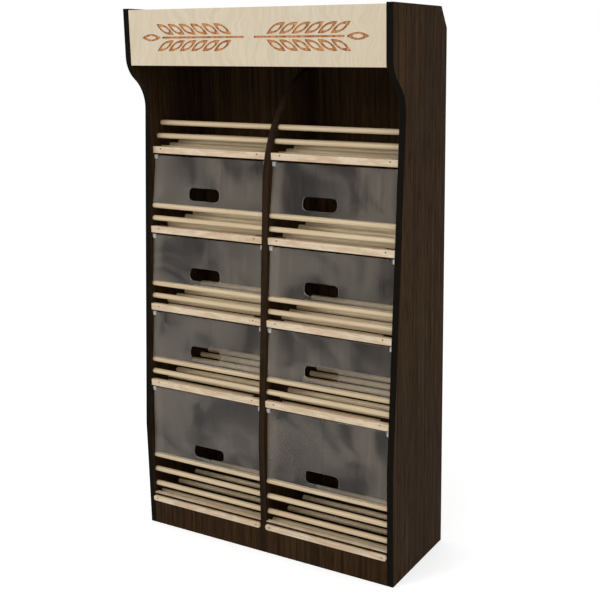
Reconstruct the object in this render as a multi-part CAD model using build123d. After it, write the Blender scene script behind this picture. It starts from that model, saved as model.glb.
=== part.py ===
from build123d import *
import math
import os

# Bakery display cabinet: two bays side by side, four sloping tiers of round dowels over a deep bin,
# with clear flap doors. All sizes are millimetres. X runs along the front, Y from front to back, Z up.
# The origin is on the floor, under the middle of the cabinet. "Setback" below means the distance
# behind the front plane, which is the face of the side panels at the foot.

# Cabinet
cabinet_height = 2000.0
cabinet_width = 1100.0
cabinet_depth = 400.0
board = 25.0
thin_board = 18.0
back_thickness = 3.0
back_inset = 2.0
easing = 1.0

# Front outline of the side panels
slope_foot = 420.0
slope_setback = 90.0
hood_rise = 360.0
hood_angle = math.radians(50)
hood_lower_radius = 125.0
hood_upper_radius = 100.0
corner_cut_depth = 45.0
corner_cut_height = 72.0

# Divider
arc_drop = 255.0
arc_radius = 480.0

# Header
header_height = 195.0
header_drop = 5.0
fit_gap = 0.5
cleat_width = 20.0
header_cleat_length = 150.0
back_rail_height = 80.0

# Tiers, counted from the top
tier_count = 4
top_tier_drop = 165.0
bin_top = 575.0
batten_height = 25.0
batten_thickness = 18.0
batten_setback = 3.0
batten_easing = 1.5
batten_screw_inset = 36.0
batten_screw_rise = 16.0
block_width = 50.0
block_depth = 22.0
block_height = 22.0
block_rise = 1.0
block_screw_rise = 6.0

# Dowels
dowel_diameter = 20.0
dowel_seat = 10.0
seat_clearance = 0.1
end_gap = 0.5
rail_setback = 21.0
rail_rise = 102.0
top_rail_rise = 111.0
rail_pitch = 48.0
floor_slope = 0.131
floor_back_rise = 46.0
floor_back_gap = 6.0
floor_pitch = 52.0
floor_front_gap = 4.0

# Bin
plinth_height = 130.0
lipping = 1.5
plinth_cleat_depth = 18.0
plinth_cleat_length = 60.0
plinth_cleat_foot = 10.0
bin_rails = 3
bin_rail_top = 285.5
bin_rail_pitch = 61.0
bin_floor_height = 116.5
bin_floor_dowels = 4
bin_floor_front_gap = 2.0
bin_floor_back_gap = 24.0
bottom_board_top = 90.0
lath_height = 21.0
lath_thickness = 8.0
lath_drop = 11.0
lath_corner = 8.0
lath_screw_inset = 18.0

# Doors
door_thickness = 4.0
door_side_gap = 3.0
door_foot_gap = 0.3
door_foot_forward = 5.0
door_corner = 3.0
hinge_setback = 12.0
hinge_drop = 12.0
door_above_hinge = 3.0
hand_hole_width = 142.0
hand_hole_height = 48.0
hand_hole_corner = 18.0
hand_hole_rise = 45.0
hand_hole_shift = {"left": (-15, -7, -3, 12), "right": (-50, -35, -26, -17)}

# Hinge clips and bushes
clip_wall = 2.0
clip_width = 11.0
clip_length = 16.0
pin_diameter = 4.0
pin_clearance = 0.05
pin_reach = 8.0
bush_diameter = 8.0
bush_length = 10.0
bush_flange_diameter = 11.0
bush_flange_thickness = 0.6

# Screws
screw_diameter = 4.0
screw_head = 7.0
screw_sink = 0.6
screw_clearance = 0.1
batten_screw_length = 34.0
lath_screw_length = 20.0
block_screw_length = 60.0
small_screw_diameter = 3.0
small_screw_head = 5.4
back_screw_length = 16.0
back_screw_pitch = 230.0
back_screw_end_gap = 55.0
cleat_screw_length = 32.0
cleat_screw_inset = 30.0

# Routed wheat ears on the header
groove_depth = 3.0
groove_width = 6.0
ear_start = 20.0
ear_end_gap = 60.0
grain_length = 84.0
grain_width = 25.0
grain_angle = 26.0
grain_pitch = 50.0
grain_offset = 28.0
stem_width = 7.0

front = -(cabinet_depth + back_thickness - lath_thickness) / 2
slope_top = cabinet_height - hood_rise
slope = slope_setback / (slope_top - slope_foot)
arc_foot = slope_top - arc_drop
bay_width = (cabinet_width - 3 * board) / 2
inner_half = cabinet_width / 2 - board
bays = {"left": -inner_half, "right": board / 2}
dowel_radius = dowel_diameter / 2
top_batten_foot = slope_top - top_tier_drop
tier_pitch = (top_batten_foot - bin_top) / (tier_count - 1)
header_top = cabinet_height - header_drop
header_foot = header_top - header_height
plinth_board_top = plinth_height - lipping


def box_between(x0, x1, y0, y1, z0, z1):
    size = Box(x1 - x0, y1 - y0, z1 - z0, align=(Align.MIN, Align.MIN, Align.MIN))
    return Pos(x0, y0, z0) * size


def block(x0, x1, setback0, setback1, z0, z1):
    return box_between(x0, x1, front + setback0, front + setback1, z0, z1)


def group(solids):
    return Compound(children=list(solids))


def save(name, shape):
    export_step(shape, f"parts/{name}.step")


# Outlines
def arc_centre():
    """Setback and height of the centre of the divider's arc."""
    lean = math.atan(slope)
    setback = slope * (arc_foot - slope_foot) + arc_radius * math.cos(lean)
    return setback, arc_foot - arc_radius * math.sin(lean)


def divider_edge(z):
    """Setback of the divider's front edge at a height."""
    if z <= arc_foot:
        return max(0.0, slope * (z - slope_foot))
    centre_setback, centre_z = arc_centre()
    return centre_setback - math.sqrt(arc_radius**2 - (z - centre_z) ** 2)


def side_face():
    lean = math.atan(slope)
    slope_end = (slope_setback, slope_top)
    lower_centre = (
        slope_setback - hood_lower_radius * math.cos(lean),
        slope_top + hood_lower_radius * math.sin(lean),
    )
    lower_end = (
        lower_centre[0] + hood_lower_radius * math.cos(hood_angle),
        lower_centre[1] + hood_lower_radius * math.sin(hood_angle),
    )
    upper_start_setback = hood_upper_radius * (1 - math.cos(hood_angle))
    straight = (lower_end[0] - upper_start_setback) / math.sin(hood_angle)
    upper_start = (upper_start_setback, lower_end[1] + straight * math.cos(hood_angle))
    upper_end = (0.0, upper_start[1] + hood_upper_radius * math.sin(hood_angle))
    outline = [
        Line((0, 0), (0, slope_foot)),
        Line((0, slope_foot), slope_end),
        TangentArc(slope_end, lower_end, tangent=(math.sin(lean), math.cos(lean))),
        Line(lower_end, upper_start),
        TangentArc(upper_start, upper_end, tangent=(-math.sin(hood_angle), math.cos(hood_angle))),
        Line(upper_end, (0, cabinet_height)),
        Line((0, cabinet_height), (cabinet_depth - corner_cut_depth, cabinet_height)),
        Line(
            (cabinet_depth - corner_cut_depth, cabinet_height),
            (cabinet_depth, cabinet_height - corner_cut_height),
        ),
        Line((cabinet_depth, cabinet_height - corner_cut_height), (cabinet_depth, 0)),
        Line((cabinet_depth, 0), (0, 0)),
    ]
    return make_face(Wire(outline))


def divider_face():
    centre_setback, centre_z = arc_centre()
    rise = math.sqrt(arc_radius**2 - (centre_setback - cabinet_depth) ** 2)
    arc_start = (divider_edge(arc_foot), arc_foot)
    arc_end = (cabinet_depth, centre_z + rise)
    outline = [
        Line((0, 0), (0, slope_foot)),
        Line((0, slope_foot), arc_start),
        TangentArc(arc_start, arc_end, tangent=(slope, 1)),
        Line(arc_end, (cabinet_depth, 0)),
        Line((cabinet_depth, 0), (0, 0)),
    ]
    return make_face(Wire(outline))


def upright(face, x0):
    """A board standing on edge, with its front outline eased."""
    plane = Plane(origin=(x0, front, 0), x_dir=(0, 1, 0), z_dir=(1, 0, 0))
    panel = extrude(plane * face, board)
    across = panel.edges().filter_by(Axis.X)
    rims = [edge for edge in panel.edges() if edge not in across and edge.center().Z > easing]
    return fillet(rims, easing)


# Where things are
def batten_foot(tier):
    return top_batten_foot - (tier - 1) * tier_pitch


def batten_face(tier):
    return divider_edge(batten_foot(tier) + batten_height / 2) + batten_setback


def rail_centres(tier):
    """Setback and height of each front rail of a tier, from the top down."""
    if tier > tier_count:
        heights = [bin_rail_top - k * bin_rail_pitch for k in range(bin_rails)]
    else:
        rise = top_rail_rise if tier == 1 else rail_rise
        heights = [batten_foot(tier) + rise - k * rail_pitch for k in range(2)]
    return [(divider_edge(z) + rail_setback, z) for z in heights]


def spread(first, last, count):
    return [first + k * (last - first) / (count - 1) for k in range(count)]


def floor_centres(tier):
    """Setback and height of each floor dowel of a tier, from the front to the back."""
    if tier > tier_count:
        first = thin_board + plinth_cleat_depth + bin_floor_front_gap + dowel_radius
        last = cabinet_depth - bin_floor_back_gap - dowel_radius
        return [(setback, bin_floor_height) for setback in spread(first, last, bin_floor_dowels)]
    first = batten_face(tier) + batten_thickness + block_depth + floor_front_gap + dowel_radius
    rearmost = cabinet_depth - floor_back_gap - dowel_radius
    count = math.floor((rearmost - first) / floor_pitch) + 1
    setbacks = [first + k * floor_pitch for k in range(count)]
    back_height = batten_foot(tier) + floor_back_rise
    return [(s, back_height - floor_slope * (rearmost - s)) for s in setbacks]


def dowel_centres(tier):
    return rail_centres(tier) + floor_centres(tier)


def hinge_centre(tier):
    """Setback and height of the axis of the door hung under a tier's batten."""
    return batten_face(tier) + hinge_setback, batten_foot(tier) - hinge_drop


def door_stance(tier):
    """Angle off plumb of a closed door and its length below the pins.

    The back corner of its foot rests on the front rail below, a little in front of the rail's top.
    """
    axis_setback, axis_z = hinge_centre(tier)
    rail_centre, rail_z = rail_centres(tier + 1)[0]
    rise = math.sqrt((dowel_radius + door_foot_gap) ** 2 - door_foot_forward**2)
    run = axis_setback - rail_centre + door_foot_forward
    fall = axis_z - rail_z - rise
    half = door_thickness / 2
    reach = math.hypot(run, fall)
    lean = math.atan2(run, fall) + math.asin(half / reach)
    return math.degrees(lean), math.sqrt(reach**2 - half**2)


# Dowels, and the seats of dowels and bushes
def bar(x0, x1, y, z, radius):
    cylinder = Cylinder(radius, x1 - x0, align=(Align.CENTER, Align.CENTER, Align.MIN))
    return Pos(x0, y, z) * Rot(0, 90, 0) * cylinder


def rod(x0, x1, setback, z, radius):
    return bar(x0, x1, front + setback, z, radius)


def dowels(centres):
    reach = dowel_seat - end_gap
    return group(
        rod(x0 - reach, x0 + bay_width + reach, setback, z, dowel_radius)
        for x0 in bays.values()
        for setback, z in centres
    )


def blind_seats(inner_face, side):
    """Blind holes for dowels and bushes in an upright's face, which looks towards side (1 is +X)."""
    seats = []
    for tier in range(1, tier_count + 2):
        seats += [(centre, dowel_seat, dowel_radius) for centre in dowel_centres(tier)]
    for tier in range(1, tier_count + 1):
        seats.append((hinge_centre(tier), bush_length + end_gap, bush_diameter / 2))
    holes = []
    for (setback, z), depth, radius in seats:
        x0, x1 = sorted((inner_face, inner_face - side * depth))
        holes.append(rod(x0, x1, setback, z, radius + seat_clearance))
    return holes


# Screws
def screw(diameter, head, length, clearance=0.0):
    """A countersunk screw along -Z, with the top of its head at the origin."""
    radius = diameter / 2 + clearance
    head_radius = head / 2 + clearance
    taper = (head - diameter) / 2
    bottom = (Align.CENTER, Align.CENTER, Align.MAX)
    shank = Cylinder(radius, length, align=bottom)
    cone = Cone(radius, head_radius, taper, align=bottom)
    return shank + cone


def place(solid, x, setback, z, direction):
    """Turn a screw so that it is driven along a direction from its head."""
    turns = {"back": (90, 0, 0), "front": (-90, 0, 0), "+x": (0, -90, 0), "-x": (0, 90, 0)}
    return Pos(x, front + setback, z) * Rot(*turns[direction]) * solid


def sunk_hole(diameter, head, length, sink):
    """The hole for a screw whose head is driven below the face by sink."""
    top = sink + easing
    well = Cylinder(head / 2 + screw_clearance, top, align=(Align.CENTER, Align.CENTER, Align.MAX))
    bore = screw(diameter, head, length + screw_clearance, screw_clearance)
    return bore + Pos(0, 0, top) * well


def batten_screw_places():
    for tier in range(1, tier_count + 1):
        for x0 in bays.values():
            for x in (x0 + batten_screw_inset, x0 + bay_width - batten_screw_inset):
                yield x, batten_face(tier) + screw_sink, batten_foot(tier) + batten_screw_rise


def lath_screw_places():
    z = plinth_height - lath_drop - lath_height / 2
    for x0 in bays.values():
        for x in (x0 + lath_screw_inset, x0 + bay_width - lath_screw_inset):
            yield x, screw_sink - lath_thickness, z


def bay_sides():
    """Each vertical face of each bay, with the direction in which it looks."""
    for x0 in bays.values():
        yield x0, 1
        yield x0 + bay_width, -1


def block_screw_places():
    for tier in range(1, tier_count + 1):
        setback = batten_face(tier) + batten_thickness + block_depth / 2
        z = batten_foot(tier) + block_rise + block_screw_rise
        for face, side in bay_sides():
            yield face + side * block_width, setback, z, "-x" if side > 0 else "+x"


def screws_at(places, diameter, head, length, direction=None):
    solid = screw(diameter, head, length)
    return group(place(solid, *spot[:3], direction or spot[3]) for spot in places)


def holes_at(places, diameter, head, length, direction=None, sink=0.0):
    hole = sunk_hole(diameter, head, length, sink)
    return [place(hole, *spot[:3], direction or spot[3]) for spot in places]


batten_screws = dict(diameter=screw_diameter, head=screw_head, length=batten_screw_length)
lath_screws = dict(diameter=screw_diameter, head=screw_head, length=lath_screw_length)
block_screws = dict(diameter=screw_diameter, head=screw_head, length=block_screw_length)
cleat_screws = dict(diameter=screw_diameter, head=screw_head, length=cleat_screw_length)
back_screws = dict(diameter=small_screw_diameter, head=small_screw_head, length=back_screw_length)


def back_screw_places():
    """Screws round the edge of the back sheet and down the divider."""
    rows = math.floor((cabinet_height - corner_cut_height) / back_screw_pitch)
    setback = cabinet_depth + back_thickness
    edge = cabinet_width / 2 - board / 2
    divider_top = divider_face().bounding_box().max.Y
    for k in range(rows):
        z = back_screw_pitch * (k + 0.5)
        for x in (-edge, 0.0, edge):
            if x or z < divider_top - back_screw_end_gap:
                yield x, setback, z


def cleat_screw_places():
    middle = header_foot + header_height / 2
    reach = header_cleat_length / 2 - cleat_screw_inset
    for z in (middle - reach, middle + reach):
        for side in (-1, 1):
            yield side * (inner_half - cleat_width / 2), thin_board + cleat_width, z


def cut(solid, tools):
    """Cut only with the tools that reach the solid's box."""
    box = solid.bounding_box()
    near = [tool for tool in tools if boxes_meet(box, tool.bounding_box())]
    return solid - near if near else solid


def boxes_meet(a, b):
    return all(
        getattr(a.min, axis) < getattr(b.max, axis) and getattr(b.min, axis) < getattr(a.max, axis)
        for axis in "XYZ"
    )


# Carcass
def side_panel(side):
    inner_face = side * inner_half
    x0 = inner_face if side > 0 else inner_face - board
    tools = blind_seats(inner_face, -side)
    tools += holes_at(block_screw_places(), **block_screws)
    tools += holes_at(back_screw_places(), direction="front", **back_screws)
    return cut(upright(side_face(), x0), tools)


def centre_divider():
    tools = blind_seats(board / 2, 1) + blind_seats(-board / 2, -1)
    tools += holes_at(block_screw_places(), **block_screws)
    tools += holes_at(back_screw_places(), direction="front", **back_screws)
    return cut(upright(divider_face(), -board / 2), tools)


def back_sheet():
    half = cabinet_width / 2 - back_inset
    top = cabinet_height - corner_cut_height - back_inset
    sheet = block(-half, half, cabinet_depth, cabinet_depth + back_thickness, back_inset, top)
    return cut(sheet, holes_at(back_screw_places(), direction="front", **back_screws))


def top_panel():
    reach = header_drop * corner_cut_depth / corner_cut_height
    lap = back_thickness * math.hypot(corner_cut_depth, corner_cut_height) / corner_cut_height
    back = cabinet_depth - corner_cut_depth + reach - lap
    half = inner_half - fit_gap
    return block(-half, half, thin_board, back, header_top - thin_board, header_top)


def back_rail():
    half = inner_half - fit_gap
    top = cabinet_height - corner_cut_height - back_inset
    return block(-half, half, cabinet_depth - thin_board, cabinet_depth, top - back_rail_height, top)


def sloping_back_strip():
    """The sheet that closes the cut corner between the top panel and the back."""
    run = Vector(-corner_cut_depth, corner_cut_height).normalized()
    inward = Vector(-run.Y, run.X) * back_thickness
    foot = Vector(cabinet_depth, cabinet_height - corner_cut_height)
    head = Vector(cabinet_depth - corner_cut_depth, cabinet_height) - run * header_drop
    half = inner_half - fit_gap
    plane = Plane(origin=(-half, front, 0), x_dir=(0, 1, 0), z_dir=(1, 0, 0))
    section = make_face(Polyline(foot, head, head + inward, foot + inward, close=True))
    return extrude(plane * section, 2 * half)


# Header
def pointed_oval(length, width):
    """Two arcs that meet at the tips."""
    tips = (-length / 2, 0), (length / 2, 0)
    return make_face(Wire([ThreePointArc(tips[0], (0, s * width / 2), tips[1]) for s in (1, -1)]))


def grain(x, z, turn):
    """The routed outline of one grain."""
    inner_width = grain_width - 2 * groove_width
    inner_length = grain_length * inner_width / grain_width
    outline = pointed_oval(grain_length, grain_width) - pointed_oval(inner_length, inner_width)
    return Pos(x, z) * Rot(0, 0, turn) * outline


def wheat_ear():
    """One ear lying along +X, with its stem towards the middle of the header."""
    tip = inner_half - ear_end_gap - grain_length / 2
    stem_end = tip - grain_length / 2 - stem_width
    outermost = stem_end - grain_offset / 2
    pairs = math.floor((outermost - ear_start - grain_length / 2) / grain_pitch) + 1
    ear = Sketch() + grain(tip, 0, 0)
    ear += Pos((ear_start + stem_end) / 2, 0) * SlotOverall(stem_end - ear_start, stem_width)
    for k in range(pairs):
        for side in (-1, 1):
            ear += grain(outermost - k * grain_pitch, side * grain_offset, side * grain_angle)
    return ear


def header_board():
    half = inner_half - fit_gap
    plank = block(-half, half, 0, thin_board, header_foot, header_top)
    plank = fillet(plank.edges().filter_by(Axis.X).group_by(Axis.Y)[0], easing)
    face = Plane(origin=(0, front, header_foot + header_height / 2), x_dir=(1, 0, 0), z_dir=(0, -1, 0))
    for half_turn in (0, 180):
        ear = Rot(0, 0, half_turn) * wheat_ear()
        plank -= extrude(face * ear, -groove_depth)
    tools = holes_at(cleat_screw_places(), direction="front", **cleat_screws)
    return cut(plank, tools)


def header_cleats():
    foot = header_foot + (header_height - header_cleat_length) / 2
    cleats = []
    for side in (-1, 1):
        x0, x1 = sorted((side * inner_half, side * (inner_half - cleat_width)))
        cleat = block(x0, x1, thin_board, thin_board + cleat_width, foot, foot + header_cleat_length)
        tools = holes_at(cleat_screw_places(), direction="front", **cleat_screws)
        cleats.append(cut(cleat, tools))
    return group(cleats)


# Bin
def plinth_board(bay):
    x0 = bays[bay] + fit_gap
    plank = block(x0, x0 + bay_width - 2 * fit_gap, 0, thin_board, 0, plinth_board_top)
    return cut(plank, holes_at(lath_screw_places(), direction="back", **lath_screws))


def bottom_board(bay):
    x0 = bays[bay] + fit_gap
    top = bottom_board_top
    return block(x0, x0 + bay_width - 2 * fit_gap, thin_board, cabinet_depth, top - thin_board, top)


def plinth_lippings():
    return group(
        block(x0 + fit_gap, x0 + bay_width - fit_gap, 0, thin_board, plinth_board_top, plinth_height)
        for x0 in bays.values()
    )


def plinth_cleats():
    cleats = []
    for face, side in bay_sides():
        x0, x1 = sorted((face, face + side * cleat_width))
        back = thin_board + plinth_cleat_depth
        foot = plinth_cleat_foot
        cleat = block(x0, x1, thin_board, back, foot, foot + plinth_cleat_length)
        cleats.append(cut(cleat, holes_at(lath_screw_places(), direction="back", **lath_screws)))
    return group(cleats)


def plinth_lath(bay):
    x0 = bays[bay] + fit_gap
    top = plinth_height - lath_drop
    lath = block(x0, x0 + bay_width - 2 * fit_gap, -lath_thickness, 0, top - lath_height, top)
    lath = fillet(lath.edges().filter_by(Axis.Y), lath_corner)
    return cut(lath, holes_at(lath_screw_places(), direction="back", sink=screw_sink, **lath_screws))


# Battens
def tier_batten(tier, bay):
    x0 = bays[bay] + fit_gap
    face, foot = batten_face(tier), batten_foot(tier)
    x1 = x0 + bay_width - 2 * fit_gap
    batten = block(x0, x1, face, face + batten_thickness, foot, foot + batten_height)
    batten = fillet(batten.edges().filter_by(Axis.X), batten_easing)
    holes = holes_at(batten_screw_places(), direction="back", sink=screw_sink, **batten_screws)
    return cut(batten, holes)


def batten_blocks():
    """Corner blocks that hold each batten's ends to the uprights."""
    tools = holes_at(batten_screw_places(), direction="back", **batten_screws)
    tools += holes_at(block_screw_places(), **block_screws)
    blocks = []
    for tier in range(1, tier_count + 1):
        back = batten_face(tier) + batten_thickness
        foot = batten_foot(tier) + block_rise
        for face, side in bay_sides():
            x0, x1 = sorted((face, face + side * block_width))
            blocks.append(cut(block(x0, x1, back, back + block_depth, foot, foot + block_height), tools))
    return group(blocks)


# Doors, each hung under a tier's batten and named after the tier that it closes. A door and its clips
# are made with the pin axis along X at the origin, hanging plumb, and then hung in their bay.
def hung(tier, bay, shape):
    setback, axis_z = hinge_centre(tier)
    place = Pos(bays[bay] + bay_width / 2, front + setback, axis_z)
    return place * Rot(-door_stance(tier)[0], 0, 0) * shape


def door_sheet(tier, bay):
    drop = door_stance(tier)[1]
    half_width = bay_width / 2 - door_side_gap
    half = door_thickness / 2
    sheet = box_between(-half_width, half_width, -half, half, -drop, door_above_hinge)
    sheet = fillet(sheet.edges().filter_by(Axis.Y).group_by(Axis.Z)[0], door_corner)
    centre = (hand_hole_shift[bay][tier - 1], 0, hand_hole_rise - drop)
    hole = Plane(centre, x_dir=(1, 0, 0), z_dir=(0, -1, 0)) * RectangleRounded(
        hand_hole_width, hand_hole_height, hand_hole_corner
    )
    return hung(tier, bay, sheet - extrude(hole, door_thickness, both=True))


def door_clip(side):
    """A clip that grips a top corner of a door, with the pin that it turns on."""
    half = door_thickness / 2
    grip = half + clip_wall
    top = door_above_hinge + clip_wall
    face = side * bay_width / 2
    edge = face - side * door_side_gap
    outer = edge + side * clip_wall
    x0, x1 = sorted((outer, outer - side * clip_width))
    clip = box_between(x0, x1, -grip, grip, top - clip_length, top)
    clip = fillet(clip.edges().filter_by(Axis.X), easing)
    slot_x0, slot_x1 = sorted((edge, edge - side * clip_width))
    slot = box_between(slot_x0, slot_x1, -half, half, -clip_length, door_above_hinge)
    pin_x0, pin_x1 = sorted((outer, face + side * pin_reach))
    return clip - slot + bar(pin_x0, pin_x1, 0, 0, pin_diameter / 2)


def door_clips(tier, bay):
    return group(hung(tier, bay, door_clip(side)) for side in (-1, 1))


def hinge_bushes():
    """Flanged bushes in the uprights that the door pins turn in."""
    bushes = []
    for tier in range(1, tier_count + 1):
        setback, axis_z = hinge_centre(tier)
        for face, side in bay_sides():
            inside, outside = face - side * bush_length, face + side * bush_flange_thickness
            body = rod(*sorted((inside, face)), setback, axis_z, bush_diameter / 2)
            flange = rod(*sorted((face, outside)), setback, axis_z, bush_flange_diameter / 2)
            bore = rod(*sorted((inside, outside)), setback, axis_z, pin_diameter / 2 + pin_clearance)
            bushes.append(body + flange - bore)
    return group(bushes)


def main():
    os.makedirs("parts", exist_ok=True)
    save("left_side_panel", side_panel(-1))
    save("right_side_panel", side_panel(1))
    save("centre_divider", centre_divider())
    save("back_sheet", back_sheet())
    save("top_panel", top_panel())
    save("upper_back_rail", back_rail())
    save("sloping_back_strip", sloping_back_strip())
    save("header_board", header_board())
    save("header_cleats", header_cleats())
    save("plinth_lippings", plinth_lippings())
    save("plinth_cleats", plinth_cleats())
    for bay in bays:
        save(f"{bay}_plinth_board", plinth_board(bay))
        save(f"{bay}_bottom_board", bottom_board(bay))
        save(f"{bay}_plinth_lath", plinth_lath(bay))
    for tier in range(1, tier_count + 2):
        save(f"tier{tier}_front_rails", dowels(rail_centres(tier)))
        save(f"tier{tier}_floor_dowels", dowels(floor_centres(tier)))
    for tier in range(1, tier_count + 1):
        for bay in bays:
            save(f"tier{tier}_{bay}_batten", tier_batten(tier, bay))
            save(f"tier{tier + 1}_{bay}_door", door_sheet(tier, bay))
            save(f"tier{tier + 1}_{bay}_door_clips", door_clips(tier, bay))
    save("batten_blocks", batten_blocks())
    save("hinge_bushes", hinge_bushes())
    save("batten_screws", screws_at(batten_screw_places(), direction="back", **batten_screws))
    save("plinth_lath_screws", screws_at(lath_screw_places(), direction="back", **lath_screws))
    save("block_screws", screws_at(block_screw_places(), **block_screws))
    save("header_cleat_screws", screws_at(cleat_screw_places(), direction="front", **cleat_screws))
    save("back_sheet_screws", screws_at(back_screw_places(), direction="front", **back_screws))


main()
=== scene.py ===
import math

import bmesh
import bpy
from mathutils import Matrix, Vector


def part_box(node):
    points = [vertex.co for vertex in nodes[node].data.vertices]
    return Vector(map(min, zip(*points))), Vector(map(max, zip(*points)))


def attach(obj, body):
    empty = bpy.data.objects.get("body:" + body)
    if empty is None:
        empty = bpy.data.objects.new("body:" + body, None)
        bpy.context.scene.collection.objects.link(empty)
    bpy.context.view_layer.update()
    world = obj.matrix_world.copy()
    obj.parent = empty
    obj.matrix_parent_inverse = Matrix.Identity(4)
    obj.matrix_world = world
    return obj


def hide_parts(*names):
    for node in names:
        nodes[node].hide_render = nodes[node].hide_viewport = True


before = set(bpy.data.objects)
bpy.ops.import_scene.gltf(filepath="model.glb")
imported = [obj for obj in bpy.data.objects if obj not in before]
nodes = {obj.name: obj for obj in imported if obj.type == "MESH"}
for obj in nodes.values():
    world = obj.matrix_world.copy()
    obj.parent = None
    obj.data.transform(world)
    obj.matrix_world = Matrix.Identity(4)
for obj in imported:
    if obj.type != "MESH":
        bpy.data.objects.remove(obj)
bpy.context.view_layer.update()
scene = bpy.context.scene
print("frame loaded:", len(nodes), "CAD pieces")


# A colour as it is seen on screen, #rrggbb, turned to the linear values that shaders take
def linear(hexColour):
    values = [int(hexColour[k:k + 2], 16) / 255 for k in (1, 3, 5)]
    return [v / 12.92 if v <= 0.04045 else ((v + 0.055) / 1.055) ** 2.4 for v in values] + [1.0]


# Adds one node. Inputs are numbers, colours or the outputs of other nodes
def addNode(tree, kind, inputs=None, **settings):
    made = tree.nodes.new(kind)
    for name, value in settings.items():
        setattr(made, name, value)
    for key, value in (inputs or {}).items():
        if isinstance(value, bpy.types.NodeSocket):
            tree.links.new(value, made.inputs[key])
        else:
            made.inputs[key].default_value = value
    return made


def startMaterial(name):
    material = bpy.data.materials.new(name)
    material.use_nodes = True
    material.node_tree.nodes.clear()
    tree = material.node_tree
    place = addNode(tree, "ShaderNodeTexCoord").outputs["Object"]
    return material, tree, place


# Noise whose features have the given size in millimetres along X, Y and Z
def noiseOf(tree, place, size, detail=2.0, roughness=0.55, distortion=0.0, offset=(0, 0, 0)):
    scale = [1000 / s for s in size]
    mapped = addNode(tree, "ShaderNodeMapping", {"Vector": place, "Scale": scale, "Location": offset})
    noise = addNode(
        tree,
        "ShaderNodeTexNoise",
        {
            "Vector": mapped.outputs["Vector"],
            "Scale": 1.0,
            "Detail": detail,
            "Roughness": roughness,
            "Distortion": distortion,
        },
    )
    return noise.outputs["Fac"]


def spreadOf(tree, value, low, high, outLow=0.0, outHigh=1.0):
    made = addNode(
        tree,
        "ShaderNodeMapRange",
        {"Value": value, "From Min": low, "From Max": high, "To Min": outLow, "To Max": outHigh},
        interpolation_type="SMOOTHSTEP",
    )
    return made.outputs["Result"]


def blendOf(tree, share, first, second, mode="MIX"):
    made = addNode(tree, "ShaderNodeMix", data_type="RGBA", blend_type=mode)
    for key, value in ((0, share), (6, first), (7, second)):
        if isinstance(value, bpy.types.NodeSocket):
            tree.links.new(value, made.inputs[key])
        else:
            made.inputs[key].default_value = value
    return made.outputs[2]


def mathOf(tree, operation, *values):
    made = addNode(tree, "ShaderNodeMath", dict(enumerate(values)), operation=operation)
    return made.outputs["Value"]


def bumpOf(tree, height, strength, distance):
    made = addNode(tree, "ShaderNodeBump", {"Height": height, "Strength": strength, "Distance": distance})
    return made.outputs["Normal"]


# Lays a tint over a colour where a pattern rises from the first limit to the second, up to a share
def layOver(tree, colour, pattern, tint, limits, share=1.0):
    return blendOf(tree, spreadOf(tree, pattern, *limits, 0.0, share), colour, linear(tint))


# Moves a place along X and Z by shares of a value
def shiftedBy(tree, place, value, alongX, alongZ):
    shift = addNode(
        tree,
        "ShaderNodeCombineXYZ",
        {
            "X": mathOf(tree, "MULTIPLY", value, alongX),
            "Y": 0.0,
            "Z": mathOf(tree, "MULTIPLY", value, alongZ),
        },
    )
    moved = addNode(tree, "ShaderNodeVectorMath", {0: place, 1: shift.outputs["Vector"]}, operation="ADD")
    return moved.outputs["Vector"]


# The surface normal's part along X, Y or Z
def normalAlong(tree, axis):
    facing = addNode(tree, "ShaderNodeNewGeometry").outputs["Normal"]
    return addNode(tree, "ShaderNodeSeparateXYZ", {"Vector": facing}).outputs[axis]


def closeMaterial(tree, surface):
    addNode(tree, "ShaderNodeOutputMaterial", {"Surface": surface})


def closePrincipled(tree, inputs):
    closeMaterial(tree, addNode(tree, "ShaderNodeBsdfPrincipled", inputs).outputs["BSDF"])


# Wenge decor laminate: melamine pressed on board with a brushed grain that runs up the board. The eye sees
# near-black brown with warmer bands and fine dark pores, and hardly any sheen. The sides' edge bands are
# darker than their faces, and the divider's is brown.
wengeLook = {
    "ground": "#2e2115",
    "streak": "#1a130c",
    "warm": "#46321e",
    "darkBand": "#14120e",
    "brownBand": "#32251a",
    "scuff": "#4a3a2c",
    "poreWidth": 2.6,  # real pores are 0.4 mm wide, drawn coarser so that they show
    "poreLength": 90,
    "bandWidth": 16,
    "bandLength": 1400,
    "cloudWidth": 110,
    "cloudLength": 700,
    "scuffs": {"size": (9, 9, 30), "detail": 4, "roughness": 0.7},
    "tone": {"size": (30, 30, 160), "detail": 3, "roughness": 0.6},
    "roughness": (0.53, 0.67),
    "ior": 1.48,
    "specular": 0.02,
}


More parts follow.
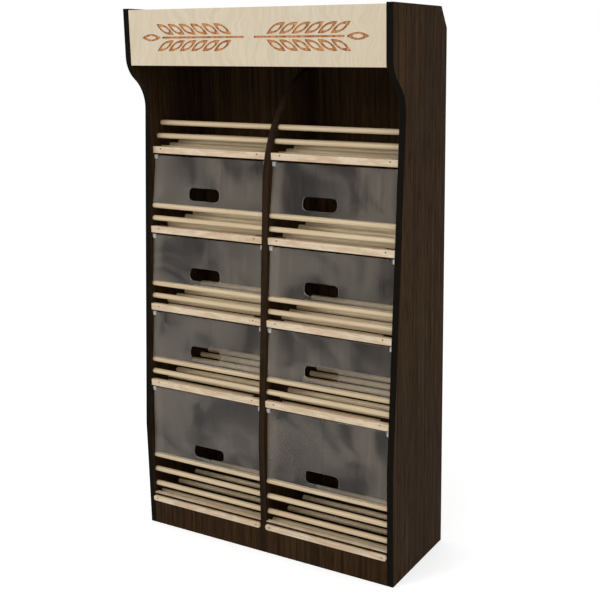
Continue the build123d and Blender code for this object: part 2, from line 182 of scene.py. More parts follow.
def makeWenge(name, grainAxis="z", edgeBand=None):
    look = wengeLook
    material, tree, place = startMaterial(name)
    axis = "xyz".index(grainAxis)

    def along(kind):
        return [look[kind + "Length"] if k == axis else look[kind + "Width"] for k in range(3)]

    pores = noiseOf(tree, place, along("pore"), detail=3, roughness=0.6)
    bands = noiseOf(tree, place, along("band"), detail=3, roughness=0.6, distortion=0.4)
    clouds = noiseOf(tree, place, along("cloud"), detail=2, roughness=0.5, offset=(3, 7, 1))
    colour = layOver(tree, linear(look["ground"]), bands, look["warm"], limits=(0.32, 0.68))
    colour = layOver(tree, colour, clouds, look["ground"], limits=(0.35, 0.75), share=0.5)
    colour = layOver(tree, colour, pores, look["streak"], limits=(0.46, 0.66), share=0.85)
    rough = spreadOf(tree, pores, 0.3, 0.7, *look["roughness"])
    if edgeBand:
        flat = mathOf(tree, "ABSOLUTE", normalAlong(tree, "X"))
        scuffs = noiseOf(tree, place, **look["scuffs"])
        tone = noiseOf(tree, place, **look["tone"])
        band = layOver(tree, linear(edgeBand), tone, look["streak"], limits=(0.4, 0.7), share=0.7)
        band = layOver(tree, band, scuffs, look["scuff"], limits=(0.62, 0.76), share=0.3)
        colour = blendOf(tree, spreadOf(tree, flat, 0.35, 0.75), band, colour)
    closePrincipled(
        tree,
        {
            "Base Color": colour,
            "Roughness": rough,
            "IOR": look["ior"],
            "Specular IOR Level": look["specular"],
            "Normal": bumpOf(tree, pores, strength=0.25, distance=0.0004),
        },
    )
    return material


# Hardboard back: the wenge print faces the shelves, and the rear is bare pressed fibre, a mottled brown
# with a woven screen mark.
hardboardLook = {
    "fibre": "#6d4e36",
    "fibreDark": "#54392a",
    "fleck": "#8d6b4b",
    "pores": {"size": (3, 3, 110), "detail": 3, "roughness": 0.6},
    "bands": {"size": (20, 20, 1500), "detail": 3, "roughness": 0.6, "distortion": 0.4},
    "fibres": {"size": (14, 14, 14), "detail": 5, "roughness": 0.7},
    "flecks": {"size": (3.5, 3.5, 3.5), "detail": 2, "roughness": 0.5},
    "screenPitch": 6.0,
    "screenDisorder": 0.15,
    "roughness": (0.6, 0.82),
}


def makeHardboard():
    wenge, look = wengeLook, hardboardLook
    material, tree, place = startMaterial("wengePrintedHardboard")
    pores = noiseOf(tree, place, **look["pores"])
    bands = noiseOf(tree, place, **look["bands"])
    printed = layOver(tree, linear(wenge["ground"]), bands, wenge["warm"], limits=(0.3, 0.7))
    printed = layOver(tree, printed, pores, wenge["streak"], limits=(0.46, 0.68), share=0.85)
    fibres = noiseOf(tree, place, **look["fibres"])
    flecks = noiseOf(tree, place, **look["flecks"])
    bare = layOver(tree, linear(look["fibre"]), fibres, look["fibreDark"], limits=(0.3, 0.7))
    bare = layOver(tree, bare, flecks, look["fleck"], limits=(0.62, 0.72), share=0.7)
    rear = spreadOf(tree, normalAlong(tree, "Y"), 0.0, 0.3)
    screen = addNode(
        tree,
        "ShaderNodeTexVoronoi",
        {"Vector": place, "Scale": 1000 / look["screenPitch"], "Randomness": look["screenDisorder"]},
    ).outputs["Distance"]
    closePrincipled(
        tree,
        {
            "Base Color": blendOf(tree, rear, printed, bare),
            "Roughness": spreadOf(tree, rear, 0, 1, *look["roughness"]),
            "IOR": wenge["ior"],
            "Specular IOR Level": wenge["specular"],
            "Normal": bumpOf(tree, mathOf(tree, "MULTIPLY", screen, rear), strength=0.35, distance=0.0006),
        },
    )
    return material


# Birch plywood header under clear satin lacquer: pale cream face veneer with a slow wavy figure, brown
# and cream plies on its edges, and a routed design whose floor is toasted orange by the cutter. The groove
# walls are painted darker: partly scorch, partly painted shade in the grooves.
birchLook = {
    "pale": "#dfd1b7",
    "figure": "#cdbc9d",
    "ply": "#b08a5c",
    "toast": "#d8934e",
    "char": "#8c4e22",
    "wander": {"size": (210, 210, 120), "detail": 2, "roughness": 0.5},
    "wanderReach": (0.16, 0.05),
    "waves": {"size": (15, 15, 150), "detail": 3, "roughness": 0.5, "distortion": 0.3},
    "fine": {"size": (1.8, 1.8, 45), "detail": 2, "roughness": 0.6},
    "burns": {"size": (9, 9, 22), "detail": 3, "roughness": 0.6},
    "wallCharAndShade": 0.5,
    "plyThickness": 0.0014,
    "frontFace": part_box("header_board")[0].y,
    "grooveDepth": 0.003,
    "toastFrom": (0.0002, 0.0009),
    "toastPast": (0.0006, 0.0002),  # how far below the groove's floor the toast has ended and is still full
    "roughness": (0.36, 0.46),
    "ior": 1.5,
}


def makeBirch():
    look = birchLook
    material, tree, place = startMaterial("birchPlywoodHeader")
    wander = noiseOf(tree, place, **look["wander"])
    figure = noiseOf(tree, shiftedBy(tree, place, wander, *look["wanderReach"]), **look["waves"])
    fine = noiseOf(tree, place, **look["fine"])
    face = layOver(tree, linear(look["pale"]), figure, look["figure"], limits=(0.25, 0.75), share=0.6)
    face = layOver(tree, face, fine, look["ply"], limits=(0.5, 0.8), share=0.2)
    backwards = addNode(tree, "ShaderNodeSeparateXYZ", {"Vector": place}).outputs["Y"]
    depth = mathOf(tree, "SUBTRACT", backwards, look["frontFace"])
    plies = mathOf(tree, "PINGPONG", mathOf(tree, "DIVIDE", depth, look["plyThickness"]), 1.0)
    edge = layOver(tree, linear(look["figure"]), plies, look["ply"], limits=(0.35, 0.65))
    wall = spreadOf(tree, mathOf(tree, "ABSOLUTE", normalAlong(tree, "Y")), 0.7, 0.3)
    sunk = spreadOf(tree, depth, *look["toastFrom"])
    above = spreadOf(tree, depth, *[look["grooveDepth"] + past for past in look["toastPast"]])
    routed = mathOf(tree, "MULTIPLY", sunk, above)
    burns = noiseOf(tree, place, **look["burns"])
    toasted = layOver(tree, linear(look["toast"]), burns, look["char"], limits=(0.35, 0.7))
    # Groove walls darkened towards the char colour: partly scorch, partly painted shade in the recess
    wallsCharredAndShaded = mathOf(tree, "MULTIPLY", wall, look["wallCharAndShade"])
    toasted = blendOf(tree, wallsCharredAndShaded, toasted, linear(look["char"]))
    closePrincipled(
        tree,
        {
            "Base Color": blendOf(tree, routed, blendOf(tree, wall, face, edge), toasted),
            "Roughness": spreadOf(tree, figure, 0.3, 0.7, *look["roughness"]),
            "IOR": look["ior"],
            "Normal": bumpOf(tree, fine, strength=0.15, distance=0.0003),
        },
    )
    return material


# Planed beech under clear lacquer for battens, laths and lippings: pinkish beige with blotches, fine
# short rays and long grain along the piece. Real rays are 0.5 mm wide, drawn coarser so that they show.
battenLook = {
    "light": "#ead8bb",
    "pink": "#d6b897",
    "knot": "#a97f5a",
    "ray": "#a98a68",
    "blotches": {"size": (95, 60, 26), "detail": 3, "roughness": 0.6, "distortion": 0.8},
    "grain": {"size": (130, 3, 2.4), "detail": 3, "roughness": 0.6, "distortion": 0.3, "offset": (5, 0, 2)},
    "rays": {"size": (14, 1.6, 1.6), "detail": 1, "roughness": 0.5},
    "knots": {"size": (38, 90, 30), "detail": 2, "roughness": 0.5, "distortion": 1.2, "offset": (2, 9, 4)},
    "roughness": (0.34, 0.5),
    "ior": 1.5,
}


def makeBatten():
    look = battenLook
    material, tree, place = startMaterial("planedBeechBatten")
    blotches = noiseOf(tree, place, **look["blotches"])
    grain = noiseOf(tree, place, **look["grain"])
    rays = noiseOf(tree, place, **look["rays"])
    knots = noiseOf(tree, place, **look["knots"])
    colour = layOver(tree, linear(look["light"]), blotches, look["pink"], limits=(0.32, 0.68))
    colour = layOver(tree, colour, grain, look["ray"], limits=(0.45, 0.75), share=0.5)
    colour = layOver(tree, colour, rays, look["ray"], limits=(0.6, 0.78), share=0.45)
    colour = layOver(tree, colour, knots, look["knot"], limits=(0.67, 0.8), share=0.6)
    closePrincipled(
        tree,
        {
            "Base Color": colour,
            "Roughness": spreadOf(tree, grain, 0.3, 0.7, *look["roughness"]),
            "IOR": look["ior"],
            "Normal": bumpOf(tree, grain, strength=0.2, distance=0.0003),
        },
    )
    return material


# Turned beech dowel under clear lacquer: creamy yellow, straight grain along the rod, each rod a shade
# of its own, which its "rodShade" attribute gives.
dowelLook = {
    "cream": "#e6d3b0",
    "tan": "#c7aa82",
    "line": "#a3835c",
    "grain": {"size": (240, 3.2, 3.2), "detail": 3, "roughness": 0.6, "distortion": 0.2},
    "lines": {"size": (90, 1.5, 1.5), "detail": 2, "roughness": 0.6},
    "broad": {"size": (170, 20, 20), "detail": 2, "roughness": 0.5},
    "shadeReach": (3.0, 1.0),
    "roughness": (0.36, 0.5),
    "ior": 1.5,
}


def makeDowelWood():
    look = dowelLook
    material, tree, place = startMaterial("turnedBeechDowel")
    shade = addNode(tree, "ShaderNodeAttribute", attribute_name="rodShade").outputs["Fac"]
    own = shiftedBy(tree, place, shade, *look["shadeReach"])
    grain = noiseOf(tree, own, **look["grain"])
    lines = noiseOf(tree, own, **look["lines"])
    broad = noiseOf(tree, own, **look["broad"])
    colour = layOver(tree, linear(look["cream"]), grain, look["tan"], limits=(0.32, 0.7), share=0.75)
    colour = layOver(tree, colour, broad, look["tan"], limits=(0.4, 0.75), share=0.35)
    colour = layOver(tree, colour, lines, look["line"], limits=(0.58, 0.76), share=0.4)
    colour = layOver(tree, colour, shade, look["tan"], limits=(0, 1), share=0.28)
    closePrincipled(
        tree,
        {
            "Base Color": colour,
            "Roughness": spreadOf(tree, grain, 0.3, 0.7, *look["roughness"]),
            "IOR": look["ior"],
            "Normal": bumpOf(tree, lines, strength=0.12, distance=0.0002),
        },
    )
    return material


# Clear cast acrylic sheet with polished edges: see-through, mirrors the room faintly, and carries the
# wiping smears and dust of a food counter. A grey film, thickest beside each pane's left edge, is a painted
# glare there, and a lighter film on the polished edges is a painted highlight. Lamps light the shelves
# through it.
acrylicLook = {
    "tint": "#f4f2ee",
    "shadowTint": "#eef0ef",
    "dust": "#a2988c",
    "edgePaintedHighlight": "#c9c4ba",
    "wipes": {"size": (240, 300, 210), "detail": 2, "roughness": 0.5, "distortion": 1.0},
    "streaks": {"size": (14, 40, 420), "detail": 2, "roughness": 0.5},
    "streakShare": (0.85, 1.15),
    "edgeHighlightShare": 0.3,
    "dustShare": 0.09,
    "glareRimShare": 0.17,
    "glareRimWidth": 0.06,
    "roughness": (0.015, 0.08),
    "ior": 1.29,
    "inner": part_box("tier2_right_door")[0].x,
    "outer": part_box("tier2_right_door")[1].x,
}


def makeAcrylic():
    look = acrylicLook
    material, tree, place = startMaterial("clearCastAcrylic")
    wipes = noiseOf(tree, place, **look["wipes"])
    streaks = noiseOf(tree, place, **look["streaks"])
    sideways = addNode(tree, "ShaderNodeSeparateXYZ", {"Vector": place}).outputs["X"]
    leftBay = mathOf(tree, "LESS_THAN", sideways, 0.0)
    doorStart = spreadOf(tree, leftBay, 0, 1, look["inner"], -look["outer"])
    inset = mathOf(tree, "SUBTRACT", sideways, doorStart)
    # Painted glare: the grey film thickens into a band beside each pane's left edge, in place of a
    # reflection on the glass
    paintedGlareRim = spreadOf(tree, inset, look["glareRimWidth"], 0.0, 0.0, look["glareRimShare"])
    edge = spreadOf(tree, mathOf(tree, "ABSOLUTE", normalAlong(tree, "Y")), 0.8, 0.4)
    shader = addNode(
        tree,
        "ShaderNodeBsdfPrincipled",
        {
            "Base Color": linear(look["tint"]),
            "Roughness": spreadOf(tree, wipes, 0.45, 0.8, *look["roughness"]),
            "IOR": look["ior"],
            "Transmission Weight": 1.0,
        },
    )
    # The film is dust where it is smeared, painted glare beside the left edge, and a lighter painted
    # highlight on the edges
    filmDustGlareHighlight = blendOf(tree, edge, linear(look["dust"]), linear(look["edgePaintedHighlight"]))
    dustGlareHighlightFilm = addNode(tree, "ShaderNodeBsdfDiffuse", {"Color": filmDustGlareHighlight})
    smeared = mathOf(
        tree,
        "MULTIPLY",
        spreadOf(tree, streaks, 0.3, 0.7, *look["streakShare"]),
        spreadOf(tree, wipes, 0.35, 0.65, 0.0, look["dustShare"] * 2),
    )
    share = mathOf(tree, "ADD", smeared, paintedGlareRim)
    # The edge faces take at least this share of the lighter film: a painted highlight
    share = mathOf(tree, "MAXIMUM", share, mathOf(tree, "MULTIPLY", edge, look["edgeHighlightShare"]))
    hazedAndHighlit = addNode(
        tree,
        "ShaderNodeMixShader",
        {0: share, 1: shader.outputs["BSDF"], 2: dustGlareHighlightFilm.outputs["BSDF"]},
    )
    path = addNode(tree, "ShaderNodeLightPath")
    clear = addNode(tree, "ShaderNodeBsdfTransparent", {"Color": linear(look["shadowTint"])})
    both = addNode(
        tree,
        "ShaderNodeMixShader",
        {0: path.outputs["Is Shadow Ray"], 1: hazedAndHighlit.outputs["Shader"], 2: clear.outputs["BSDF"]},
    )
    closeMaterial(tree, both.outputs["Shader"])
    return material


# Moulded polycarbonate clips and bushes: milky, hardly see-through plastic with a fine moulded texture
clipLook = {
    "milk": "#e2e2e4",
    "worn": "#cbc8c4",
    "grime": {"size": (7, 7, 7), "detail": 3, "roughness": 0.6},
    "texture": {"size": (0.8, 0.8, 0.8), "detail": 2, "roughness": 0.5},
    "see": 0.15,
    "roughness": (0.25, 0.42),
    "ior": 1.58,
}


def makeClipPlastic():
    look = clipLook
    material, tree, place = startMaterial("mouldedPolycarbonate")
    grime = noiseOf(tree, place, **look["grime"])
    texture = noiseOf(tree, place, **look["texture"])
    closePrincipled(
        tree,
        {
            "Base Color": layOver(tree, linear(look["milk"]), grime, look["worn"], limits=(0.4, 0.75)),
            "Roughness": spreadOf(tree, grime, 0.3, 0.7, *look["roughness"]),
            "IOR": look["ior"],
            "Transmission Weight": look["see"],
            "Normal": bumpOf(tree, texture, strength=0.15, distance=0.0001),
        },
    )
    return material


# Phosphated steel screws: almost black, smoother and a little lighter where the driver has rubbed
screwLook = {
    "phosphate": "#0f0d0b",
    "rubbed": "#2b2723",
    "wear": {"size": (1.6, 1.6, 1.6), "detail": 3, "roughness": 0.6},
    "roughness": (0.5, 0.3),
}


def makeScrewSteel():
    look = screwLook
    material, tree, place = startMaterial("phosphatedScrewSteel")
    wear = noiseOf(tree, place, **look["wear"])
    rubbed = layOver(tree, linear(look["phosphate"]), wear, look["rubbed"], limits=(0.55, 0.75), share=0.8)
    closePrincipled(
        tree,
        {
            "Base Color": rubbed,
            "Metallic": 1.0,
            "Roughness": spreadOf(tree, wear, 0.4, 0.75, *look["roughness"]),
        },
    )
    return material


wengeSide = makeWenge("wengeLaminateSide", "z", wengeLook["darkBand"])
wengeDivider = makeWenge("wengeLaminateDivider", "z", wengeLook["brownBand"])
wengeUp = makeWenge("wengeLaminateUpright", "z")
wengeAcross = makeWenge("wengeLaminateAcross", "x")
hardboard = makeHardboard()
birch = makeBirch()
battenWood = makeBatten()
dowelWood = makeDowelWood()
acrylic = makeAcrylic()
clipPlastic = makeClipPlastic()
screwSteel = makeScrewSteel()
print("materials made:", len(bpy.data.materials))

finishes = {
    "left_side_panel": wengeSide,
    "right_side_panel": wengeSide,
    "centre_divider": wengeDivider,
    "left_plinth_board": wengeUp,
    "right_plinth_board": wengeUp,
    "left_bottom_board": wengeAcross,
    "right_bottom_board": wengeAcross,
    "top_panel": wengeAcross,
    "upper_back_rail": wengeAcross,
    "plinth_cleats": wengeUp,
    "header_cleats": wengeUp,
    "batten_blocks": wengeAcross,
    "back_sheet": hardboard,
    "sloping_back_strip": hardboard,
    "header_board": birch,
    "plinth_lippings": battenWood,
    "hinge_bushes": clipPlastic,
}
finished = 0
for name, piece in nodes.items():
    finish = finishes.get(name)
    if name.endswith(("_batten", "_plinth_lath")):
        finish = battenWood
    elif name.endswith("_door"):
        finish = acrylic
    elif name.endswith("_clips"):
        finish = clipPlastic
    if finish:
        for slot in piece.material_slots:
            slot.material = finish
        finished += 1
print("CAD pieces finished:", finished)


def newTree(name, sockets):
    tree = bpy.data.node_groups.new(name, "GeometryNodeTree")
    tree.interface.new_socket("Geometry", in_out="INPUT", socket_type="NodeSocketGeometry")
    for label, kind in sockets.items():
        tree.interface.new_socket(label, in_out="INPUT", socket_type="NodeSocket" + kind)
    tree.interface.new_socket("Geometry", in_out="OUTPUT", socket_type="NodeSocketGeometry")
    return tree, tree.nodes.new("NodeGroupInput")


# Runs a tree on a mesh and keeps the plain result as one piece on the cabinet
def growPiece(name, tree, values, replaced, base=None):
    piece = bpy.data.objects.new(name, base or bpy.data.meshes.new(name))
    scene.collection.objects.link(piece)
    modifier = piece.modifiers.new(name, "NODES")
    modifier.node_group = tree
    for item in tree.interface.items_tree:
        if item.in_out == "INPUT" and item.name in values:
            modifier[item.identifier] = values[item.name]
    bpy.context.view_layer.update()
    depsgraph = bpy.context.evaluated_depsgraph_get()
    grown = bpy.data.meshes.new_from_object(piece.evaluated_get(depsgraph))
    piece.modifiers.clear()
    piece.data = grown
    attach(piece, "cabinet")
    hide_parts(replaced)
    return piece


# Dowel rows: rods on a straight line from the first to the last, in both bays, seated in the uprights.
# The last tier is the bin.
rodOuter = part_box("tier1_front_rails")[1].x
rodInner = 0.003
dowelRows = {
    "diameter": 0.020,
    "sides": 40,
    "crispAngle": 40,
    "rodLength": rodOuter - rodInner,
    "bayShift": (rodOuter + rodInner) / 2,
    "floorPitch": 0.052,
    "tiers": 5,
    "rails": 2,
    "binRails": 3,
    "binFloorCount": 4,
    "seedStep": 11,
}


def makeRodTree():
    tree, given = newTree(
        "dowelRows",
        {
            "Count": "Int",
            "First": "Vector",
            "Last": "Vector",
            "Diameter": "Float",
            "Length": "Float",
            "Sides": "Int",
            "Bay Shift": "Float",
            "Seed": "Int",
            "Wood": "Material",
        },
    )
    size = given.outputs
    rod = addNode(
        tree,
        "GeometryNodeMeshCylinder",
        {
            "Vertices": size["Sides"],
            "Radius": mathOf(tree, "MULTIPLY", size["Diameter"], 0.5),
            "Depth": size["Length"],
        },
    )
    lying = addNode(
        tree, "GeometryNodeTransform", {"Geometry": rod.outputs["Mesh"], "Rotation": (0, math.pi / 2, 0)}
    )
    row = addNode(
        tree,
        "GeometryNodeMeshLine",
        {"Count": size["Count"], "Start Location": size["First"], "Offset": size["Last"]},
        mode="END_POINTS",
    )
    both = addNode(tree, "GeometryNodeJoinGeometry")
    for side in (-1, 1):
        sideways = mathOf(tree, "MULTIPLY", size["Bay Shift"], side)
        shift = addNode(tree, "ShaderNodeCombineXYZ", {"X": sideways})
        moved = addNode(
            tree,
            "GeometryNodeTransform",
            {"Geometry": row.outputs["Mesh"], "Translation": shift.outputs["Vector"]},
        )
        tree.links.new(moved.outputs["Geometry"], both.inputs["Geometry"])
    rods = addNode(
        tree,
        "GeometryNodeInstanceOnPoints",
        {"Points": both.outputs["Geometry"], "Instance": lying.outputs["Geometry"]},
    )
    shade = addNode(tree, "FunctionNodeRandomValue", {"Seed": size["Seed"]}, data_type="FLOAT")
    named = addNode(
        tree,
        "GeometryNodeStoreNamedAttribute",
        {"Geometry": rods.outputs["Instances"], "Name": "rodShade", "Value": shade.outputs["Value"]},
        data_type="FLOAT",
        domain="INSTANCE",
    )
    real = addNode(tree, "GeometryNodeRealizeInstances", {"Geometry": named.outputs["Geometry"]})
    angle = addNode(tree, "GeometryNodeInputMeshEdgeAngle")
    crisp = addNode(
        tree,
        "FunctionNodeCompare",
        {0: angle.outputs["Unsigned Angle"], 1: math.radians(dowelRows["crispAngle"])},
        data_type="FLOAT",
        operation="LESS_THAN",
    )
    smooth = addNode(
        tree, "GeometryNodeSetShadeSmooth", {"Geometry": real.outputs["Geometry"]}, domain="FACE"
    )
    edges = addNode(
        tree,
        "GeometryNodeSetShadeSmooth",
        {"Geometry": smooth.outputs["Geometry"], "Shade Smooth": crisp.outputs["Result"]},
        domain="EDGE",
    )
    final = addNode(
        tree, "GeometryNodeSetMaterial", {"Geometry": edges.outputs["Geometry"], "Material": size["Wood"]}
    )
    addNode(tree, "NodeGroupOutput", {"Geometry": final.outputs["Geometry"]})
    return tree


# How many rods a row holds in each bay, from its CAD box where the pitch gives it
def rowCount(kind, tier, low, high):
    inBin = tier == dowelRows["tiers"]
    if kind == "front_rails":
        return dowelRows["binRails"] if inBin else dowelRows["rails"]
    if inBin:
        return dowelRows["binFloorCount"]
    return round((high.y - low.y - dowelRows["diameter"]) / dowelRows["floorPitch"]) + 1


rodTree = makeRodTree()
radius = dowelRows["diameter"] / 2
for tier in range(1, dowelRows["tiers"] + 1):
    for kind, label in (("front_rails", "FrontRails"), ("floor_dowels", "FloorDowels")):
        nodeName = f"tier{tier}_{kind}"
        low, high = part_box(nodeName)
        count = rowCount(kind, tier, low, high)
        growPiece(
            f"tier{tier}{label}",
            rodTree,
            {
                "Count": count,
                "First": (0, low.y + radius, low.z + radius),
                "Last": (0, high.y - radius, high.z - radius),
                "Diameter": dowelRows["diameter"],
                "Length": dowelRows["rodLength"],
                "Sides": dowelRows["sides"],
                "Bay Shift": dowelRows["bayShift"],
                "Seed": dowelRows["seedStep"] * tier + count,
                "Wood": dowelWood,
            },
            nodeName,
        )
print("dowel rows grown")

# Screws: countersunk heads with a cross recess, on the points and along the directions of the CAD ones.
# The recess is given in shares of the head's diameter, and its depth in shares of the head's height.
woodScrew = {"shank": 0.004, "head": 0.007}
sheetScrew = {"shank": 0.003, "head": 0.0054}
screwShape = {
    "batten_screws": woodScrew,
    "plinth_lath_screws": woodScrew,
    "block_screws": woodScrew,
    "header_cleat_screws": woodScrew,
    "back_sheet_screws": sheetScrew,
}
screwForm = {
    "headSides": 24,
    "shankSides": 16,
    "recessLength": 0.56,
    "recessWidth": 0.13,
    "recessDepth": 1.3,
    "weldGap": 1e-6,
    "rimReach": 0.49,
}


# Separate solids of a mesh, each as a list of its points
def islandsOf(mesh):
    copy = bmesh.new()
    copy.from_mesh(mesh)
    bmesh.ops.remove_doubles(copy, verts=copy.verts, dist=screwForm["weldGap"])
    seen, islands = set(), []
    for start in copy.verts:
        if start in seen:
            continue
        island, queue = [], [start]
        seen.add(start)
        while queue:
            vert = queue.pop()
            island.append(vert.co.copy())
            for edge in vert.link_edges:
                other = edge.other_vert(vert)
                if other not in seen:
                    seen.add(other)
                    queue.append(other)
        islands.append(island)
    copy.free()
    return islands


# Head centre, drive direction and length of each screw of a CAD node
def screwPoints(nodeName):
    found = []
    for island in islandsOf(nodes[nodeName].data):
        low = Vector([min(p[k] for p in island) for k in range(3)])
        high = Vector([max(p[k] for p in island) for k in range(3)])
        size = high - low
        axis = max(range(3), key=lambda k: size[k])
        middle = (low + high) / 2
        reach = max(range(3), key=lambda k: size[k] if k != axis else 0)
        rimGap = size[reach] * screwForm["rimReach"]
        widest = [p for p in island if abs(p[reach] - middle[reach]) > rimGap]
        headHigh = sum(p[axis] for p in widest) / len(widest) > middle[axis]
        head = middle.copy()
        head[axis] = high[axis] if headHigh else low[axis]
        drive = Vector((0, 0, 0))
        drive[axis] = -1 if headHigh else 1
        found.append((head, drive, size[axis]))
    return found


def makeScrewTree():
    tree, given = newTree(
        "crossHeadScrews",
        {"Shank": "Float", "Head": "Float", "Length": "Float", "Steel": "Material"},
    )
    size = given.outputs
    shankRadius = mathOf(tree, "MULTIPLY", size["Shank"], 0.5)
    headRadius = mathOf(tree, "MULTIPLY", size["Head"], 0.5)
    taper = mathOf(tree, "SUBTRACT", headRadius, shankRadius)
    cone = addNode(
        tree,
        "GeometryNodeMeshCone",
        {
            "Vertices": screwForm["headSides"],
            "Radius Top": headRadius,
            "Radius Bottom": shankRadius,
            "Depth": taper,
        },
    )
    down = addNode(tree, "ShaderNodeCombineXYZ", {"Z": mathOf(tree, "MULTIPLY", taper, -1.0)})
    headPart = addNode(
        tree,
        "GeometryNodeTransform",
        {"Geometry": cone.outputs["Mesh"], "Translation": down.outputs["Vector"]},
    )
    cutters = addNode(tree, "GeometryNodeJoinGeometry")
    for turn in (0, math.pi / 2):
        bar = addNode(
            tree,
            "ShaderNodeCombineXYZ",
            {
                "X": mathOf(tree, "MULTIPLY", size["Head"], screwForm["recessLength"]),
                "Y": mathOf(tree, "MULTIPLY", size["Head"], screwForm["recessWidth"]),
                "Z": mathOf(tree, "MULTIPLY", taper, screwForm["recessDepth"]),
            },
        )
        cutter = addNode(tree, "GeometryNodeMeshCube", {"Size": bar.outputs["Vector"]})
        turned = addNode(
            tree, "GeometryNodeTransform", {"Geometry": cutter.outputs["Mesh"], "Rotation": (0, 0, turn)}
        )
        tree.links.new(turned.outputs["Geometry"], cutters.inputs["Geometry"])
    recessed = addNode(
        tree,
        "GeometryNodeMeshBoolean",
        {"Mesh 1": headPart.outputs["Geometry"], "Mesh 2": cutters.outputs["Geometry"]},
        operation="DIFFERENCE",
    )
    shankLength = mathOf(tree, "SUBTRACT", size["Length"], taper)
    shank = addNode(
        tree,
        "GeometryNodeMeshCylinder",
        {"Vertices": screwForm["shankSides"], "Radius": shankRadius, "Depth": shankLength},
    )
    sunk = mathOf(tree, "MULTIPLY", mathOf(tree, "ADD", size["Length"], taper), -0.5)
    below = addNode(tree, "ShaderNodeCombineXYZ", {"Z": sunk})
    shankPart = addNode(
        tree,
        "GeometryNodeTransform",
        {"Geometry": shank.outputs["Mesh"], "Translation": below.outputs["Vector"]},
    )
    screw = addNode(tree, "GeometryNodeJoinGeometry")
    for part in (recessed.outputs["Mesh"], shankPart.outputs["Geometry"]):
        tree.links.new(part, screw.inputs["Geometry"])
    turn = addNode(tree, "GeometryNodeInputNamedAttribute", {"Name": "turn"}, data_type="FLOAT_VECTOR")
    placed = addNode(
        tree,
        "GeometryNodeInstanceOnPoints",
        {
            "Points": size["Geometry"],
            "Instance": screw.outputs["Geometry"],
            "Rotation": turn.outputs["Attribute"],
        },
    )
    real = addNode(tree, "GeometryNodeRealizeInstances", {"Geometry": placed.outputs["Instances"]})
    final = addNode(
        tree, "GeometryNodeSetMaterial", {"Geometry": real.outputs["Geometry"], "Material": size["Steel"]}
    )
    addNode(tree, "NodeGroupOutput", {"Geometry": final.outputs["Geometry"]})
    return tree


screwTree = makeScrewTree()
for nodeName, shape in screwShape.items():
    points = screwPoints(nodeName)
    base = bpy.data.meshes.new(nodeName + "Points")
    base.from_pydata([head for head, _, _ in points], [], [])
    turns = base.attributes.new("turn", "FLOAT_VECTOR", "POINT")
    for k, (_, drive, _) in enumerate(points):
        turns.data[k].vector = (-drive).to_track_quat("Z", "Y").to_euler()
    words = nodeName.split("_")
    growPiece(
        words[0] + "".join(word.capitalize() for word in words[1:]),
        screwTree,
        {
            "Shank": shape["shank"],
            "Head": shape["head"],
            "Length": points[0][2],
            "Steel": screwSteel,
        },
        nodeName,
        base,
    )
    print(nodeName, "grown:", len(points))

# Studio: white floor and surroundings, a soft lamp high on the left and a weaker one on the right
studio = {
    "worldLight": 0.62,
    "floorSize": 60.0,
    "floorColour": "#efefef",
    "floorGlow": 0.52,
    "lamps": [
        {"name": "keyLamp", "at": (-1.9, -3.6, 3.6), "aim": (0, -0.1, 0.9), "size": 2.2, "power": 55},
        {"name": "fillLamp", "at": (3.6, -1.6, 2.2), "aim": (0.3, 0, 1.0), "size": 2.0, "power": 20},
    ],
}


# One where a ray comes from the camera, a mirror or through glass, and nought where it lights a surface
def lookedAt(tree):
    path = addNode(tree, "ShaderNodeLightPath").outputs
    indirect = mathOf(tree, "MAXIMUM", path["Is Glossy Ray"], path["Is Transmission Ray"])
    return mathOf(tree, "MAXIMUM", path["Is Camera Ray"], indirect)


def makeWorld():
    world = bpy.data.worlds.new("whiteStudio")
    scene.world = world
    world.use_nodes = True
    tree = world.node_tree
    tree.nodes.clear()
    strength = spreadOf(tree, lookedAt(tree), 0, 1, studio["worldLight"], 1.0)
    sky = addNode(tree, "ShaderNodeBackground", {"Color": (1, 1, 1, 1), "Strength": strength})
    addNode(tree, "ShaderNodeOutputWorld", {"Surface": sky.outputs["Background"]})


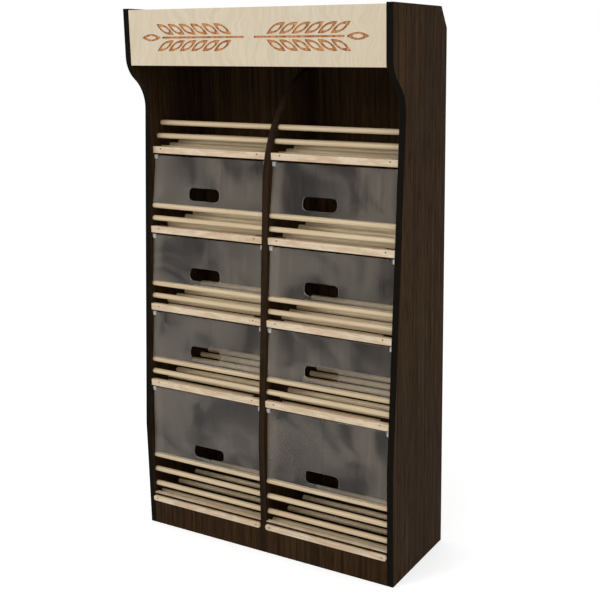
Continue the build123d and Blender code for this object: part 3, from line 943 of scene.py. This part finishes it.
def makeFloor():
    material = bpy.data.materials.new("studioFloor")
    material.use_nodes = True
    tree = material.node_tree
    tree.nodes.clear()
    looking = lookedAt(tree)
    matt = addNode(tree, "ShaderNodeBsdfDiffuse", {"Color": linear(studio["floorColour"])})
    glow = addNode(
        tree,
        "ShaderNodeEmission",
        {"Color": (1, 1, 1, 1), "Strength": mathOf(tree, "MULTIPLY", looking, studio["floorGlow"])},
    )
    summed = addNode(tree, "ShaderNodeAddShader", {0: matt.outputs["BSDF"], 1: glow.outputs["Emission"]})
    closeMaterial(tree, summed.outputs["Shader"])
    half = studio["floorSize"] / 2
    mesh = bpy.data.meshes.new("floor")
    corners = [(-half, -half, 0), (half, -half, 0), (half, half, 0), (-half, half, 0)]
    mesh.from_pydata(corners, [], [(0, 1, 2, 3)])
    mesh.materials.append(material)
    floor = bpy.data.objects.new("floor", mesh)
    scene.collection.objects.link(floor)


makeWorld()
makeFloor()
for lamp in studio["lamps"]:
    light = bpy.data.lights.new(lamp["name"], "AREA")
    light.shape = "SQUARE"
    light.size = lamp["size"]
    light.energy = lamp["power"]
    holder = bpy.data.objects.new(lamp["name"], light)
    holder.location = lamp["at"]
    holder.rotation_euler = (Vector(lamp["aim"]) - Vector(lamp["at"])).to_track_quat("-Z", "Y").to_euler()
    scene.collection.objects.link(holder)
scene.view_settings.view_transform = "Standard"

# Camera to the right of the cabinet and near its full height, looking a little down
shot = {
    "at": (2.011, -2.9946, 1.8505),
    "heading": 0.4884,
    "down": 0.2185,
    "roll": -0.0009,
    "lens": 59.162,
    "sensor": 36.0,
    "shift": (-0.1442, -0.05),
}
heading, down, roll = shot["heading"], shot["down"], shot["roll"]
level = Vector((math.cos(heading), math.sin(heading), 0))
ahead = Vector((-math.sin(heading) * math.cos(down), math.cos(heading) * math.cos(down), -math.sin(down)))
upright = level.cross(ahead)
right = level * math.cos(roll) + upright * math.sin(roll)
top = upright * math.cos(roll) - level * math.sin(roll)
lensData = bpy.data.cameras.new("camera")
lensData.sensor_width = shot["sensor"]
lensData.lens = shot["lens"]
lensData.shift_x, lensData.shift_y = shot["shift"]
camera = bpy.data.objects.new("camera", lensData)
camera.matrix_world = Matrix.Translation(shot["at"]) @ Matrix((right, top, -ahead)).transposed().to_4x4()
scene.collection.objects.link(camera)
scene.camera = camera
print("studio and camera set")
